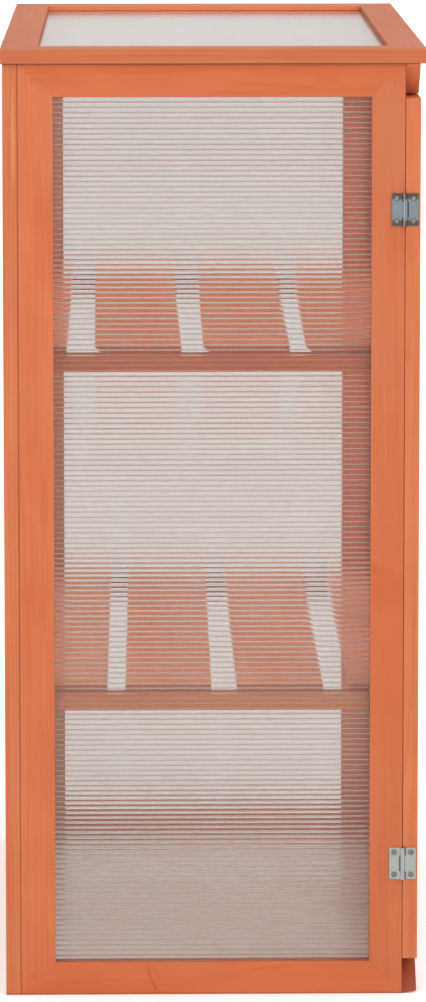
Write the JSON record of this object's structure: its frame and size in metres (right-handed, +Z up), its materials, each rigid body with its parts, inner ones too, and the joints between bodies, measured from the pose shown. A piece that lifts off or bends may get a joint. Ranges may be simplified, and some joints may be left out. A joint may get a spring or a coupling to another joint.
{
  "type": "mini greenhouse",
  "caption": "Tall wooden cabinet greenhouse with framed twin-wall sheets, two slatted shelves, double front doors and a lid that hinges up at the back.",
  "frame": {"origin": "on the floor, under the middle of the bounding box", "axes": "+Z up, -Y the front with the doors, +X to the right seen from the front"},
  "size_m": [0.7604, 0.4974, 1.0885],
  "materials": {
    "frame_wood": "orange stain, satin",
    "shelf_wood": "orange stain, matt",
    "twin_wall_sheet": "translucent ribbed polycarbonate",
    "zinc_plated_steel": "zinc plated, slightly blue"
  },
  "bodies": {
    "frame": {"left_side_front_stile": "frame_wood", "left_side_back_stile": "frame_wood", "left_side_bottom_rail": "frame_wood", "left_side_top_rail": "frame_wood", "left_side_sheet": "twin_wall_sheet", "right_side_front_stile": "frame_wood", "right_side_back_stile": "frame_wood", "right_side_bottom_rail": "frame_wood", "right_side_top_rail": "frame_wood", "right_side_sheet": "twin_wall_sheet", "back_left_stile": "frame_wood", "back_right_stile": "frame_wood", "back_bottom_rail": "frame_wood", "back_top_rail": "frame_wood", "back_sheet": "twin_wall_sheet", "front_top_rail": "frame_wood", "front_bottom_rail": "frame_wood", "upper_battens": "shelf_wood", "lower_battens": "shelf_wood", "upper_slat_1": "shelf_wood", "upper_slat_2": "shelf_wood", "upper_slat_3": "shelf_wood", "upper_slat_4": "shelf_wood", "lower_slat_1": "shelf_wood", "lower_slat_2": "shelf_wood", "lower_slat_3": "shelf_wood", "lower_slat_4": "shelf_wood", "door_hinge_frame_leaves": "zinc_plated_steel", "lid_hinge_frame_leaves": "zinc_plated_steel", "hinge_pins": "zinc_plated_steel", "frame_hardware_screws": "zinc_plated_steel", "panel_screws": "zinc_plated_steel", "shelf_batten_screws": "zinc_plated_steel", "shelf_slat_screws": "zinc_plated_steel", "lid_stay_screw": "zinc_plated_steel"},
    "left_door": {"left_door_hinge_stile": "frame_wood", "left_door_meeting_stile": "frame_wood", "left_door_bottom_rail": "frame_wood", "left_door_top_rail": "frame_wood", "left_door_sheet": "twin_wall_sheet", "left_door_hinge_leaves": "zinc_plated_steel", "left_door_screws": "zinc_plated_steel", "bolt_plate": "zinc_plated_steel"},
    "right_door": {"right_door_hinge_stile": "frame_wood", "right_door_meeting_stile": "frame_wood", "right_door_bottom_rail": "frame_wood", "right_door_top_rail": "frame_wood", "right_door_sheet": "twin_wall_sheet", "right_door_hinge_leaves": "zinc_plated_steel", "right_door_screws": "zinc_plated_steel", "bolt_keeper": "zinc_plated_steel"},
    "lid": {"lid_left_rail": "frame_wood", "lid_right_rail": "frame_wood", "lid_front_rail": "frame_wood", "lid_back_rail": "frame_wood", "lid_sheet": "twin_wall_sheet", "lid_hinge_lid_leaves": "zinc_plated_steel", "lid_screws": "zinc_plated_steel"},
    "bolt": {"bolt_rod": "zinc_plated_steel"},
    "stay": {"lid_stay": "zinc_plated_steel"}
  },
  "joints": [
    {"name": "left_door_hinge", "type": "hinge", "parent": "frame", "child": "left_door", "pos_m": [-0.3776, -0.21275, 0.53], "axis": [0, 0, -1], "range_deg": [0, 180]},
    {"name": "right_door_hinge", "type": "hinge", "parent": "frame", "child": "right_door", "pos_m": [0.3776, -0.21275, 0.53], "axis": [0, 0, 1], "range_deg": [0, 180]},
    {"name": "lid_hinge", "type": "hinge", "parent": "frame", "child": "lid", "pos_m": [0, 0.2461, 1.07125], "axis": [-1, 0, 0], "range_deg": [0, 60]},
    {"name": "stay_pivot", "type": "hinge", "parent": "frame", "child": "stay", "pos_m": [0.3565, 0.126, 1.055], "axis": [-1, 0, 0], "range_deg": [0, 93]},
    {"name": "bolt_slide", "type": "slide", "parent": "left_door", "child": "bolt", "axis": [1, 0, 0], "range_m": [0, 0.016]}
  ],
  "couplings": [
    {"joint": "stay_pivot", "follows": "lid_hinge", "ratio": 1.5475}
  ]
}
